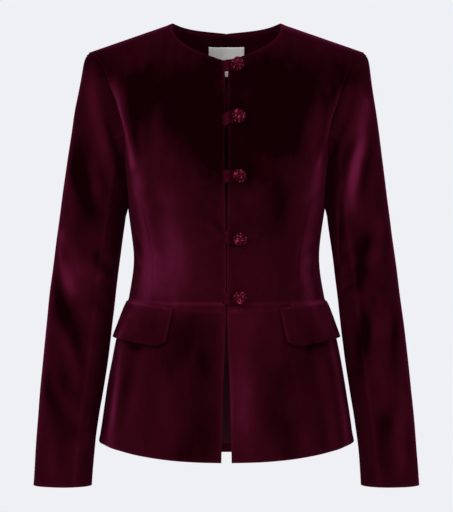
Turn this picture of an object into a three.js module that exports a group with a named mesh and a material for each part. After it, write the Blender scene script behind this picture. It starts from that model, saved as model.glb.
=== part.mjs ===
// A collarless velvet jacket, filled out as if worn but empty inside, in millimetres.
// +Z is up, the front faces -Y, and the wearer's left is at +X.
// The origin lies midway between the two points where the shoulder seams meet the neckline.
import * as THREE from "three";

// Cloth and seams
const VELVET_WALL = 2.0;
const FLAP_WALL = 2.2;
const FACING_WALL = 1.2;
const LINING_WALL = 0.8;
const LABEL_WALL = 0.8;
const SEAM_GAP = 0.3;
const HALF_SEAM = SEAM_GAP / 2;
const LAY_GAP = 0.35;

// Neckline, on the torso form
const NECK_HALF_WIDTH = 76;
const FRONT_NECK_DROP = 59.5;
const FRONT_NECK_BEND = 2.7;
const BACK_NECK_DROP = 10;
const BACK_NECK_POWER = 2.3;

// The bust, eased into each front by its dart
const BUST = { x: 78, z: -222, height: 17, halfWidth: 44, halfHeight: 52 };

// The torso form, from the waist seam up to the shoulder seam. Each level is one section: its
// height and reach at centre front, at centre back and at the side, how square it is, how its
// height bows from the centre to the side, the share of the half width at which each armhole
// cuts it, and the number of mesh rows up to the next level.
const BODICE = levels(
  [
    ...["zFront", "yFront", "zBack", "yBack", "xSide", "ySide", "zSide"],
    ...["square", "bow", "armFront", "armBack", "rows"],
  ],
  {
    waistSeam: [-400, -110, -398, 84, 138, 4, -389, 2.1, 2, 1, 1, 2],
    belowWaist: [-361, -105, -360, 78, 132, 4, -354, 2.1, 2, 1, 1, 2],
    waist: [-323, -102, -322, 77, 130, 4, -318, 2.1, 2, 1, 1, 2],
    ribs: [-272, -106, -268, 87, 137.5, 4, -264, 2.15, 1.8, 1, 1, 3],
    underarm: [-220, -112, -212, 97, 143.5, 5, -207, 2.2, 1.6, 1, 1, 1],
    armLow: [-204, -111, -198, 98, 144.3, 5, -199, 2.3, 1.5, 0.991, 0.993, 1],
    chestLow: [-178, -107, -178, 99, 145.5, 4.5, -186, 2.4, 1.4, 0.966, 0.976, 2],
    chest: [-132, -94, -146, 98, 149.5, 3.5, -156, 2.9, 1.3, 0.957, 0.966, 2],
    upperChest: [-95, -80, -110, 91, 157, 2.5, -124, 3.2, 1.2, 0.965, 0.97, 1],
    neckPit: [-58, -67, -75, 81, 166, 1.5, -94, 3.4, 1.1, 0.972, 0.974, 2],
    lowNeck: [-24, -54, -38, 66, 175.5, 1, -69, 3.5, 1, 0.97, 0.972, 2],
    midNeck: [4, -40, -10, 47, 184.5, 0.5, -53, 4.5, 1, 0.978, 0.978, 2],
    highNeck: [20, -22, 18, 25, 190, 0, -45, 7, 1, 0.989, 0.989, 1],
    shoulder: [26, 0, 26, 0, 193, 0, -41, 7, 1, 1, 1, 0],
  },
);

// The skirt, from the waist seam down to the hem, with the same columns
const SKIRT = levels(
  ["zFront", "yFront", "zBack", "yBack", "xSide", "ySide", "zSide", "square", "bow", "rows"],
  {
    waistSeam: [-400, -110, -398, 84, 138, 4, -389, 2.1, 2, 2],
    highHip: [-428, -115, -426, 95, 147.5, 4, -415, 2.15, 2, 2],
    hip: [-468, -120, -468, 106, 157.5, 4, -453, 2.2, 2.1, 2],
    lowHip: [-535, -124, -538, 114, 169, 4, -519, 2.2, 2.3, 2],
    hem: [-604, -126, -611, 119, 179, 4, -584, 2.2, 2.5, 0],
  },
);

// Half the width of the gap between the fronts, which meet edge to edge and are held by loops
const FRONT_GAP = levels(
  ["z", "half"],
  {
    hem: [-604, 9],
    knee: [-520, 6.5],
    hip: [-440, 2.5],
    waistSeam: [-400, 0.9],
    waist: [-330, 0.5],
    ribs: [-270, 1],
    bust: [-215, 2.4],
    chest: [-170, 3],
    upperChest: [-120, 0.8],
    neck: [-58, 1.6],
  },
);

// Sleeve rings below the armhole, from the sleeve head to the cuff: where each one reaches away
// from the body and towards it, its middle and half depth from front to back, and how much less
// far out the left sleeve hangs than the right one. Where a ring would reach into the body, the
// sleeve lies against the body's side instead.
const SLEEVE = levels(
  ["xOuter", "zOuter", "xInner", "zInner", "yMid", "halfDepth", "leftIn"],
  {
    headTurn: [198.2, -47.5, 141.5, -209.5, 2, 46, 0],
    head: [200.8, -58, 139.5, -214, 1, 47.5, 0.4],
    headLow: [203.5, -77, 138, -222, 0, 49, 1.2],
    upperArm: [209, -106, 137, -235, -1, 50, 2],
    armhole: [215, -142, 137.4, -252, -2, 50.5, 3],
    biceps: [221.5, -184, 140, -272, -2, 50.5, 4],
    gap: [228, -228, 143.4, -296, -2, 50, 5],
    aboveElbow: [234.5, -276, 147.8, -326, -3, 49.5, 5.5],
    elbow: [241, -328, 151.8, -360, -5, 49, 5.2],
    belowElbow: [247.2, -381, 156, -398, -8, 48.5, 4.5],
    forearm: [252.6, -432, 161, -441, -11, 47.5, 3.5],
    lowForearm: [257.2, -482, 166.2, -486, -14, 46, 2.6],
    wrist: [261.2, -530, 174.2, -532, -17, 44, 1.8],
    aboveCuff: [265, -584, 182.4, -585, -20, 42, 1],
    cuff: [268.4, -643.5, 186.6, -644, -22, 40.5, 0.4],
  },
);
const SLEEVE_ROWS_PER_RING = 1.2;
const SLEEVE_START = 0.3;
const BODY_CLEAR = 0.9;
const FRONT_SLEEVE_SEAM = 0.66;
const BACK_SLEEVE_SEAM = 0.72;

// Flaps in the waist seam: shares of the front skirt's seam line, the depth, and how far the
// lower edge stands off the skirt at the front corner and, as a share of that, at the side
const FLAP = { from: 0.37, to: 0.975, depth: 54, corner: 11, slant: 0.004, columns: 12, rows: 7 };
const FLAP_LIFT = { front: 4.2, sideShare: 0.6 };

// Buttons on the left front, and how far each loop's root sits above or below its button
const BUTTONS = levels(
  ["x", "z", "rootShift"],
  {
    neck: [15.2, -63, -1.6],
    chest: [17, -136, -5],
    bust: [17.6, -217.5, -0.5],
    waist: [18, -303.5, 4.5],
    seam: [18, -383, 0],
  },
);
const BUTTON_SEAT = 0.5;
const BUTTON_SIDES = 14;
const SHANK = { radius: 4.2, top: 4.1 };
const DOME = { radius: 10.2, rim: 9, height: 10.8 };

// The dome's outline from its rim to its crown, in shares of its radius and of its height
const DOME_OUTLINE = levels(
  ["radius", "height"],
  {
    rim: [1, 0.25],
    shoulder: [0.93, 0.58],
    upper: [0.68, 0.86],
    crown: [0.3, 0.985],
  },
);

// Loops: a folded velvet band from the right front's edge, with its two legs side by side. They
// part at bendFrom and narrow to go round the shank.
const LOOP = { root: -7, bendFrom: 6, bendEase: 2, legSteps: 6, turnSteps: 6, sides: 8 };
const BAND = { legHalf: 4.2, legGap: 0.25, bendHalf: 2.4, shankGap: 0.4, halfThickness: 1.6 };

// Inside pieces that show
const LABEL = { halfWidth: 26, top: -25.5, bottom: -67, columns: 6, rows: 4 };
const FACING = { shoulderReach: 124, drop: 84, roundness: 0.8, columns: 20, rows: 4 };
const FACING_CLEAR = { ridge: 4, neckSide: 1, neckTop: 0.4 };
const LINING = { columns: 8, hemRise: 13, top: -98 };
const FACING_GAP = 1.8;
const LABEL_GAP = 0.9;

// Steps of the searches and measures along curves
const HALVINGS = 40;
const FINE_STEPS = 60;
const FLAP_FINE_STEPS = 200;
const NORMAL_STEP = 1.5;

const velvet = new THREE.MeshStandardMaterial({ color: 0x47101f, roughness: 0.85, metalness: 0 });
const flapVelvet = new THREE.MeshStandardMaterial({ color: 0x4a1121, roughness: 0.85, metalness: 0 });
const darkVelvet = new THREE.MeshStandardMaterial({ color: 0x2b0a13, roughness: 0.9, metalness: 0 });
const satin = new THREE.MeshStandardMaterial({ color: 0x24090f, roughness: 0.45, metalness: 0 });
const cord = new THREE.MeshStandardMaterial({ color: 0x5c1226, roughness: 0.6, metalness: 0 });
const ribbon = new THREE.MeshStandardMaterial({ color: 0xdcd8d3, roughness: 0.7, metalness: 0 });

// A table of named rows and columns as a list of row objects
function levels(columns, rows) {
  return Object.entries(rows).map(([name, values]) => {
    const level = { name };
    columns.forEach((column, i) => {
      level[column] = values[i];
    });
    return level;
  });
}

function indexOf(table, name) {
  return table.findIndex((level) => level.name === name);
}

// One column of a table at a place between its rows, on a smooth curve through them
function smooth(table, column, place) {
  const last = table.length - 1;
  const row = Math.min(Math.max(Math.floor(place), 0), last - 1);
  const share = place - row;
  const value = (i) => table[Math.min(Math.max(i, 0), last)][column];
  const slopeHere = row > 0 ? (value(row + 1) - value(row - 1)) / 2 : value(1) - value(0);
  const slopeNext = row + 1 < last ? (value(row + 2) - value(row)) / 2 : value(last) - value(last - 1);
  const square = share * share;
  const cube = square * share;
  return (
    value(row) * (2 * cube - 3 * square + 1) +
    slopeHere * (cube - 2 * square + share) +
    value(row + 1) * (3 * square - 2 * cube) +
    slopeNext * (cube - square)
  );
}

function levelAt(table, place) {
  const level = {};
  for (const column of Object.keys(table[0])) {
    if (column !== "name") level[column] = smooth(table, column, place);
  }
  return level;
}

// The places of a table's mesh rows, each level split as its rows column says
function meshPlaces(table) {
  const places = [];
  table.forEach((level, i) => {
    for (let step = 0; step < level.rows; step++) places.push(i + step / level.rows);
  });
  places.push(table.length - 1);
  return places;
}

function bustAt(x, z) {
  const across = (x - BUST.x) / BUST.halfWidth;
  const along = (z - BUST.z) / BUST.halfHeight;
  return BUST.height * Math.exp(-across * across - along * along);
}

// A point of a section, at an angle from the centre line (0) to the side (a right angle)
function sectionPoint(level, side, angle) {
  const power = 2 / level.square;
  const x = level.xSide * Math.pow(Math.sin(angle), power);
  const reach = Math.pow(Math.max(Math.cos(angle), 0), power);
  const isFront = side === "front";
  const yMiddle = isFront ? level.yFront : level.yBack;
  const zMiddle = isFront ? level.zFront : level.zBack;
  const z = zMiddle + (level.zSide - zMiddle) * Math.pow(x / level.xSide, level.bow);
  const y = level.ySide + (yMiddle - level.ySide) * reach;
  return new THREE.Vector3(x, isFront ? y - bustAt(x, z) : y, z);
}

function angleAt(level, x) {
  const share = Math.min(Math.max(x / level.xSide, 0), 1);
  return Math.asin(Math.pow(share, level.square / 2));
}

// The length of a line of points up to each of them
function lengthsAlong(line) {
  const lengths = [0];
  for (let i = 1; i < line.length; i++) lengths.push(lengths[i - 1] + line[i].distanceTo(line[i - 1]));
  return lengths;
}

// A list of points moved onto evenly spaced places along its own line
function evenly(line, count) {
  const lengths = lengthsAlong(line);
  const total = lengths[lengths.length - 1];
  const points = [];
  let i = 1;
  for (let k = 0; k <= count; k++) {
    const wanted = (total * k) / count;
    while (i < line.length - 1 && lengths[i] < wanted) i++;
    const share = (wanted - lengths[i - 1]) / (lengths[i] - lengths[i - 1]);
    points.push(line[i - 1].clone().lerp(line[i], Math.min(Math.max(share, 0), 1)));
  }
  return points;
}

function sectionLine(level, side, xFrom, xTo, count) {
  const from = angleAt(level, xFrom);
  const to = angleAt(level, xTo);
  const fine = [];
  for (let i = 0; i <= FINE_STEPS; i++) {
    fine.push(sectionPoint(level, side, from + ((to - from) * i) / FINE_STEPS));
  }
  return evenly(fine, count);
}

// The neckline's height at a distance from the centre line: a soft V in front, a low curve behind
function necklineHeight(side, x) {
  const share = Math.min(x / NECK_HALF_WIDTH, 1);
  if (side === "front") return -FRONT_NECK_DROP * Math.pow(1 - share, 1 / FRONT_NECK_BEND);
  return -BACK_NECK_DROP * (1 - Math.pow(share, BACK_NECK_POWER));
}

// The value between two others at which a condition that holds at the first one stops holding
function halved(from, to, holds) {
  let low = from;
  let high = to;
  for (let i = 0; i < HALVINGS; i++) {
    const middle = (low + high) / 2;
    if (holds(middle)) low = middle;
    else high = middle;
  }
  return high;
}

// Where the neckline cuts a level: 0 for levels that it doesn't reach
function neckCut(level, side) {
  const height = (x) => sectionPoint(level, side, angleAt(level, x)).z - necklineHeight(side, x);
  if (height(0) <= 0) return 0;
  return halved(0, NECK_HALF_WIDTH, (x) => height(x) > 0);
}

// Half the front gap at a height
function gapAt(z) {
  const next = Math.max(1, FRONT_GAP.findIndex((row) => row.z >= z));
  const above = FRONT_GAP[next] ?? FRONT_GAP[FRONT_GAP.length - 1];
  const below = FRONT_GAP[next - 1];
  const share = Math.min(Math.max((z - below.z) / (above.z - below.z), 0), 1);
  return THREE.MathUtils.lerp(below.half, above.half, THREE.MathUtils.smoothstep(share, 0, 1));
}

// The place on a table, between its rows, that has a height at a distance from the centre line
function placeAt(table, side, x, z) {
  const heightAt = (place) => {
    const level = levelAt(table, place);
    return sectionPoint(level, side, angleAt(level, x)).z;
  };
  const last = table.length - 1;
  const rises = heightAt(last) > heightAt(0);
  return halved(0, last, (place) => heightAt(place) < z === rises);
}

// How far sideways the torso reaches at a place from front to back and a height
function sideReach(y, z) {
  const side = y < BODICE[0].ySide ? "front" : "back";
  const level = levelAt(BODICE, placeAt(BODICE, side, BODICE[0].xSide, z));
  const isFront = side === "front";
  const pointAt = (angle) => sectionPoint(level, side, angle);
  return pointAt(halved(0, Math.PI / 2, (angle) => pointAt(angle).y < y === isFront)).x;
}

// A point of the form at a distance from the centre line and a height, with its outward normal
function formAt(table, side, x, z) {
  const point = (px, pz) => {
    const level = levelAt(table, placeAt(table, side, Math.abs(px), pz));
    const found = sectionPoint(level, side, angleAt(level, Math.abs(px)));
    found.x *= Math.sign(px) || 1;
    return found;
  };
  const along = point(x + NORMAL_STEP, z).sub(point(x - NORMAL_STEP, z));
  const up = point(x, z + NORMAL_STEP).sub(point(x, z - NORMAL_STEP));
  const normal = along.cross(up).normalize();
  if (side === "back") normal.negate();
  return { point: point(x, z), normal };
}

// Outward normals of a grid of points; flip is true where its rows run the other way round
function gridNormals(points, flip) {
  const lastRow = points.length - 1;
  const lastColumn = points[0].length - 1;
  return points.map((row, j) =>
    row.map((_, i) => {
      const across = points[j][Math.min(i + 1, lastColumn)].clone().sub(points[j][Math.max(i - 1, 0)]);
      const along = points[Math.min(j + 1, lastRow)][i].clone().sub(points[Math.max(j - 1, 0)][i]);
      const normal = across.cross(along).normalize();
      return flip ? normal.negate() : normal;
    }),
  );
}

// At a seam the cloth's edge stands square: the normal there loses the axes that are named
function squareEdges(normals, axesAt) {
  normals.forEach((row, j) =>
    row.forEach((normal, i) => {
      for (const axis of axesAt(j, i)) normal[axis] = 0;
      normal.normalize();
    }),
  );
  return normals;
}

// A closed wall of cloth: the grid is its outer face, and its inner face lies a thickness inside
function wall(points, normals, thickness, flip) {
  const rows = points.length;
  const columns = points[0].length;
  const corners = [];
  for (const row of points) corners.push(...row);
  points.forEach((row, j) =>
    row.forEach((point, i) => corners.push(point.clone().addScaledVector(normals[j][i], -thickness))),
  );
  const outer = (j, i) => j * columns + i;
  const inner = (j, i) => rows * columns + outer(j, i);
  const faces = [];
  const quad = (a, b, c, d) => faces.push(a, b, c, a, c, d);
  for (let j = 0; j < rows - 1; j++) {
    for (let i = 0; i < columns - 1; i++) {
      quad(outer(j, i), outer(j, i + 1), outer(j + 1, i + 1), outer(j + 1, i));
      quad(inner(j, i), inner(j + 1, i), inner(j + 1, i + 1), inner(j, i + 1));
    }
    const end = columns - 1;
    quad(outer(j, 0), outer(j + 1, 0), inner(j + 1, 0), inner(j, 0));
    quad(outer(j, end), inner(j, end), inner(j + 1, end), outer(j + 1, end));
  }
  for (let i = 0; i < columns - 1; i++) {
    const top = rows - 1;
    quad(outer(0, i), inner(0, i), inner(0, i + 1), outer(0, i + 1));
    quad(outer(top, i), outer(top, i + 1), inner(top, i + 1), inner(top, i));
  }
  if (flip) {
    for (let k = 0; k < faces.length; k += 3) [faces[k + 1], faces[k + 2]] = [faces[k + 2], faces[k + 1]];
  }
  const geometry = new THREE.BufferGeometry();
  geometry.setAttribute("position", new THREE.Float32BufferAttribute(corners.flatMap((p) => p.toArray()), 3));
  geometry.setIndex(faces);
  geometry.computeVertexNormals();
  return geometry;
}

const jacket = new THREE.Group();
jacket.name = "velvet_jacket";

function addPiece(name, geometry, material) {
  const mesh = new THREE.Mesh(geometry, material);
  mesh.name = name;
  jacket.add(mesh);
  return mesh;
}

const HANDS = [
  { hand: "right", sign: -1 },
  { hand: "left", sign: 1 },
];

const bodicePlaces = meshPlaces(BODICE);
const underarmRow = bodicePlaces.indexOf(indexOf(BODICE, "underarm"));
const PANEL_COLUMNS = { front: 11, back: 9 };

// How far a panel's edge draws back, front to back, from a seam with the panel behind or before it
function drawnBack(side) {
  return side === "front" ? -HALF_SEAM : HALF_SEAM;
}

// The outer points of a front or back panel, from the centre to the side, seams already opened
function panelPoints(table, places, side) {
  return places.map((place) => {
    const level = levelAt(table, place);
    const isFront = side === "front";
    const zMiddle = isFront ? level.zFront : level.zBack;
    const cut = table === BODICE ? neckCut(level, side) : 0;
    const start = isFront ? Math.max(cut, gapAt(zMiddle)) : Math.max(cut, HALF_SEAM);
    const share = (isFront ? level.armFront : level.armBack) ?? 1;
    const end = level.xSide * Math.min(share, 1);
    const line = sectionLine(level, side, start, end, PANEL_COLUMNS[side]);
    if (share >= 1) line[line.length - 1].y += drawnBack(side);
    return line;
  });
}

function mirrored(points, sign) {
  if (sign > 0) return points;
  return points.map((row) => row.map((p) => new THREE.Vector3(-p.x, p.y, p.z)));
}

// Bodice panels: waist seam at the bottom row, shoulder seam at the top row
function bodicePanel(side, sign) {
  const points = panelPoints(BODICE, bodicePlaces, side);
  const top = points.length - 1;
  points[0].forEach((p) => (p.z += HALF_SEAM));
  points[top].forEach((p) => (p.y += drawnBack(side)));
  const placed = mirrored(points, sign);
  const flip = (side === "back") !== (sign < 0);
  const normals = squareEdges(gridNormals(placed, flip), (j, i) => {
    const axes = [];
    if (j === 0) axes.push("z");
    if (j === top || (i === PANEL_COLUMNS[side] && j <= underarmRow)) axes.push("y");
    if (i === 0 && j < top && side === "back") axes.push("x");
    return axes;
  });
  return wall(placed, normals, VELVET_WALL, flip);
}

// Skirt panels: the table runs downwards, so the rows do too
function skirtPoints(side) {
  const points = panelPoints(SKIRT, meshPlaces(SKIRT), side);
  points[0].forEach((p) => (p.z -= HALF_SEAM));
  return points;
}

function skirtPanel(side, sign) {
  const placed = mirrored(skirtPoints(side), sign);
  const flip = (side === "back") === (sign < 0);
  const normals = squareEdges(gridNormals(placed, flip), (j, i) => {
    const axes = [];
    if (j === 0) axes.push("z");
    if (i === PANEL_COLUMNS[side]) axes.push("y");
    if (i === 0 && side === "back") axes.push("x");
    return axes;
  });
  return wall(placed, normals, VELVET_WALL, flip);
}

for (const { hand, sign } of HANDS) {
  for (const side of ["front", "back"]) {
    addPiece(`${side}_bodice_${hand}`, bodicePanel(side, sign), velvet);
    addPiece(`${side}_skirt_${hand}`, skirtPanel(side, sign), velvet);
  }
}

// The armhole's edge as mesh points, over the front from the shoulder to the underarm and on up
// the back, each with its share of the half turn
function armholePoints() {
  const upper = bodicePlaces.slice(underarmRow);
  const edge = (side) =>
    upper.map((place) => {
      const level = levelAt(BODICE, place);
      const share = Math.min(side === "front" ? level.armFront : level.armBack, 1);
      return sectionPoint(level, side, angleAt(level, level.xSide * share));
    });
  const shares = (line) => {
    const lengths = lengthsAlong(line);
    return lengths.map((length) => length / lengths[lengths.length - 1]);
  };
  const front = edge("front").reverse();
  const back = edge("back");
  const frontShares = shares(front);
  const backShares = shares(back);
  const around = front.map((point, i) => ({ point, turn: frontShares[i] }));
  back.slice(1).forEach((point, i) => around.push({ point, turn: 1 + backShares[i + 1] }));
  return around;
}

// One line of sleeve points from the armhole to the cuff, at a turn of 0 over the shoulder,
// 1 at the underarm and 2 over the shoulder again
function sleeveLine({ point, turn }, sign) {
  const angle = turn * Math.PI;
  const knots = [point.clone().setX(point.x + SLEEVE_START)];
  for (const ring of SLEEVE) {
    const out = Math.cos(angle);
    const xOuter = sign > 0 ? ring.xOuter - ring.leftIn : ring.xOuter;
    knots.push(
      new THREE.Vector3(
        (xOuter + ring.xInner) / 2 + ((xOuter - ring.xInner) / 2) * out,
        ring.yMid - ring.halfDepth * Math.sin(angle),
        (ring.zOuter + ring.zInner) / 2 + ((ring.zOuter - ring.zInner) / 2) * out,
      ),
    );
  }
  const curve = new THREE.CatmullRomCurve3(knots, false, "centripetal");
  const rows = Math.round(SLEEVE.length * SLEEVE_ROWS_PER_RING);
  return curve.getPoints(rows).map((place, row) => {
    const least = row > 0 ? sideReach(place.y, place.z) + BODY_CLEAR : place.x;
    return place.setX(Math.max(place.x, least));
  });
}

// The whole sleeve as a tube of lines, with the first line repeated at the end
function sleeveTube(sign) {
  const lines = armholePoints().map((entry) => sleeveLine(entry, sign));
  const rows = lines[0].length;
  return Array.from({ length: rows }, (_, j) => lines.map((line) => line[j]));
}

function tubeNormals(tube) {
  const columns = tube[0].length - 1;
  const wrapped = tube.map((row) => [row[columns - 1], ...row, row[1]]);
  return gridNormals(wrapped, false).map((row) => row.slice(1, -1));
}

// A panel of the tube from one column to another, past the joined line over the shoulder
function sleevePanel(tube, normals, from, to, sign) {
  const columns = tube[0].length - 1;
  const wrap = (i) => ((i % columns) + columns) % columns;
  const points = [];
  const outward = [];
  tube.forEach((row, j) => {
    const line = [];
    const lineNormals = [];
    for (let i = from; i <= to; i++) {
      const point = row[wrap(i)].clone();
      const along = row[wrap(i + 1)].clone().sub(row[wrap(i - 1)]).normalize();
      if (i === from) point.addScaledVector(along, HALF_SEAM);
      if (i === to) point.addScaledVector(along, -HALF_SEAM);
      const normal = normals[j][wrap(i)].clone();
      if (j === 0) normal.setX(0).normalize();
      if (sign < 0) {
        point.x = -point.x;
        normal.x = -normal.x;
      }
      line.push(point);
      lineNormals.push(normal);
    }
    points.push(line);
    outward.push(lineNormals);
  });
  return wall(points, outward, VELVET_WALL, sign < 0);
}

const turns = armholePoints().map((entry) => entry.turn);
const nearestColumn = (turn) =>
  turns.reduce((best, value, i) => (Math.abs(value - turn) < Math.abs(turns[best] - turn) ? i : best), 0);
const frontSeam = nearestColumn(FRONT_SLEEVE_SEAM);
const backSeam = nearestColumn(2 - BACK_SLEEVE_SEAM);
const wholeTurn = turns.length - 1;
for (const { hand, sign } of HANDS) {
  const tube = sleeveTube(sign);
  const outward = tubeNormals(tube);
  addPiece(`top_sleeve_${hand}`, sleevePanel(tube, outward, backSeam - wholeTurn, frontSeam, sign), velvet);
  addPiece(`under_sleeve_${hand}`, sleevePanel(tube, outward, frontSeam, backSeam, sign), velvet);
}

// Pocket flaps: points of the front skirt, moved out, with the front lower corner rounded
function flapPoints() {
  const fineLines = [];
  for (let j = 0; j <= FLAP.rows; j++) {
    const down = (FLAP.depth * j) / FLAP.rows;
    const level = levelAt(SKIRT, placeAt(SKIRT, "front", 0, SKIRT[0].zFront - HALF_SEAM - down));
    fineLines.push(sectionLine(level, "front", 0, SKIRT.at(-1).xSide, FLAP_FINE_STEPS));
  }
  return fineLines.map((line, j) => {
    const down = j / FLAP.rows;
    const intoCorner = Math.max(0, FLAP.depth * down - (FLAP.depth - FLAP.corner));
    const cutIn = FLAP.corner - Math.sqrt(FLAP.corner ** 2 - intoCorner ** 2);
    const from = FLAP.from + FLAP.slant * down + cutIn / lengthsAlong(line).at(-1);
    return Array.from({ length: FLAP.columns + 1 }, (_, i) => {
      const share = from + ((FLAP.to - from) * i) / FLAP.columns;
      const place = share * (line.length - 1);
      const low = Math.min(Math.floor(place), line.length - 2);
      return line[low].clone().lerp(line[low + 1], place - low);
    });
  });
}

function movedOut(points, normals, distanceAt) {
  return points.map((row, j) =>
    row.map((point, i) => point.clone().addScaledVector(normals[j][i], distanceAt(j, i))),
  );
}

for (const { hand, sign } of HANDS) {
  const base = mirrored(flapPoints(), sign);
  const flip = sign > 0;
  const baseNormals = gridNormals(base, flip);
  const lastRow = base.length - 1;
  const lastColumn = base[0].length - 1;
  const outer = movedOut(base, baseNormals, (j, i) => {
    const down = j / lastRow;
    const shareOfLift = THREE.MathUtils.lerp(1, FLAP_LIFT.sideShare, i / lastColumn);
    return LAY_GAP + FLAP_WALL + FLAP_LIFT.front * down * down * shareOfLift;
  });
  addPiece(`flap_${hand}`, wall(outer, gridNormals(outer, flip), FLAP_WALL, flip), flapVelvet);
}

// Corded dome buttons, each on a shank that its loop goes round
const buttonProfile = [
  new THREE.Vector2(0, BUTTON_SEAT),
  new THREE.Vector2(SHANK.radius, BUTTON_SEAT),
  new THREE.Vector2(SHANK.radius, SHANK.top),
  new THREE.Vector2(DOME.rim, SHANK.top),
  ...DOME_OUTLINE.map(
    ({ radius, height }) =>
      new THREE.Vector2(DOME.radius * radius, THREE.MathUtils.lerp(SHANK.top, DOME.height, height)),
  ),
  new THREE.Vector2(0, DOME.height),
];

// A loop's stations on the plane of the cloth, each a place and the band's half width there: out
// from the edge along the upper leg, round the shank, and back along the lower leg
function loopStations(button) {
  const turn = SHANK.radius + BAND.shankGap + BAND.bendHalf;
  const leg = Array.from({ length: LOOP.legSteps }, (_, i) => {
    const x = THREE.MathUtils.lerp(LOOP.root, button.x, i / LOOP.legSteps);
    const parted = THREE.MathUtils.smoothstep(x, LOOP.bendFrom, button.x - LOOP.bendEase);
    const settled = THREE.MathUtils.smoothstep(x, LOOP.root, LOOP.bendFrom);
    return {
      x,
      zMiddle: button.z + button.rootShift * (1 - settled),
      offset: THREE.MathUtils.lerp(BAND.legHalf + BAND.legGap, turn, parted),
      half: THREE.MathUtils.lerp(BAND.legHalf, BAND.bendHalf, parted),
    };
  });
  const upper = leg.map(({ x, zMiddle, offset, half }) => ({ x, z: zMiddle + offset, half }));
  const lower = leg.map(({ x, zMiddle, offset, half }) => ({ x, z: zMiddle - offset, half }));
  const round = Array.from({ length: LOOP.turnSteps + 1 }, (_, i) => {
    const angle = Math.PI / 2 - (Math.PI * i) / LOOP.turnSteps;
    const place = { x: button.x + turn * Math.cos(angle), z: button.z + turn * Math.sin(angle) };
    return { ...place, half: BAND.bendHalf };
  });
  return [...upper, ...round, ...lower.reverse()];
}

// A closed rod through a list of rings of points, with flat ends
function rod(rings) {
  const sides = rings[0].length;
  const last = rings.length - 1;
  const at = (j, i) => j * sides + (i % sides);
  const faces = [];
  for (let j = 0; j < last; j++) {
    for (let i = 0; i < sides; i++) {
      faces.push(at(j, i), at(j, i + 1), at(j + 1, i + 1), at(j, i), at(j + 1, i + 1), at(j + 1, i));
    }
  }
  for (let i = 1; i < sides - 1; i++) {
    faces.push(at(0, 0), at(0, i + 1), at(0, i));
    faces.push(at(last, 0), at(last, i), at(last, i + 1));
  }
  const geometry = new THREE.BufferGeometry();
  const corners = rings.flat().flatMap((p) => p.toArray());
  geometry.setAttribute("position", new THREE.Float32BufferAttribute(corners, 3));
  geometry.setIndex(faces);
  geometry.computeVertexNormals();
  return geometry;
}

// The band's sections along its stations, lying on the fronts
function loopRings(button) {
  const stations = loopStations(button);
  const seats = stations.map(({ x, z }) => formAt(BODICE, "front", x, z));
  return stations.map(({ half }, j) => {
    const { point, normal } = seats[j];
    const before = seats[Math.max(j - 1, 0)].point;
    const after = seats[Math.min(j + 1, seats.length - 1)].point;
    const across = normal.clone().cross(after.clone().sub(before)).normalize();
    return Array.from({ length: LOOP.sides }, (_, i) => {
      const angle = (2 * Math.PI * i) / LOOP.sides;
      const height = LAY_GAP + BAND.halfThickness * (1 + Math.sin(angle));
      return point
        .clone()
        .addScaledVector(normal, height)
        .addScaledVector(across, half * Math.cos(angle));
    });
  });
}

BUTTONS.forEach((button, index) => {
  const { point, normal } = formAt(BODICE, "front", button.x, button.z);
  const mesh = addPiece(`button_${index + 1}`, new THREE.LatheGeometry(buttonProfile, BUTTON_SIDES), cord);
  mesh.position.copy(point);
  mesh.quaternion.setFromUnitVectors(new THREE.Vector3(0, 1, 0), normal);
  addPiece(`loop_${index + 1}`, rod(loopRings(button)), velvet);
});

// A wall inside the back, made from points given by distance from the centre and height
function insideBack({ columns, rows }, placeOf, inset, thickness) {
  const points = [];
  const normals = [];
  for (let j = 0; j <= rows; j++) {
    const line = [];
    const lineNormals = [];
    for (let i = 0; i <= columns; i++) {
      const [x, z] = placeOf(i / columns, j / rows);
      const { point, normal } = formAt(BODICE, "back", x, z);
      line.push(point.addScaledVector(normal, -inset));
      lineNormals.push(normal);
    }
    points.push(line);
    normals.push(lineNormals);
  }
  return wall(points, normals, thickness, true);
}

// Back neck facing: from the neckline down, between the shoulder seams
const shoulderSlope = (BODICE.at(-1).zSide - BODICE.at(-1).zBack) / BODICE.at(-1).xSide;
function facingPlace(across, up) {
  const turn = (across - 0.5) * Math.PI;
  const side = Math.sin(turn);
  const neckX = Math.abs(side) * (NECK_HALF_WIDTH - FACING_CLEAR.neckSide);
  const ridgeAt = (x) => BODICE.at(-1).zBack + shoulderSlope * x - FACING_CLEAR.ridge;
  const neckZ = Math.min(necklineHeight("back", neckX), ridgeAt(neckX)) - FACING_CLEAR.neckTop;
  const lowX = Math.abs(side) * FACING.shoulderReach;
  const drop = FACING.drop * Math.cos(turn) ** FACING.roundness;
  const lowZ = Math.min(-BACK_NECK_DROP - drop, ridgeAt(lowX));
  const sign = Math.sign(side) || 1;
  return [sign * THREE.MathUtils.lerp(lowX, neckX, up), THREE.MathUtils.lerp(lowZ, neckZ, up)];
}
const facingInset = VELVET_WALL + FACING_GAP;
addPiece("back_neck_facing", insideBack(FACING, facingPlace, facingInset, FACING_WALL), darkVelvet);

// Label, bare, sewn to the facing
function labelPlace(across, up) {
  const x = THREE.MathUtils.lerp(-LABEL.halfWidth, LABEL.halfWidth, across);
  return [x, THREE.MathUtils.lerp(LABEL.bottom, LABEL.top, up)];
}
const labelInset = facingInset + FACING_WALL + LABEL_GAP;
addPiece("label", insideBack(LABEL, labelPlace, labelInset, LABEL_WALL), ribbon);

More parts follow.
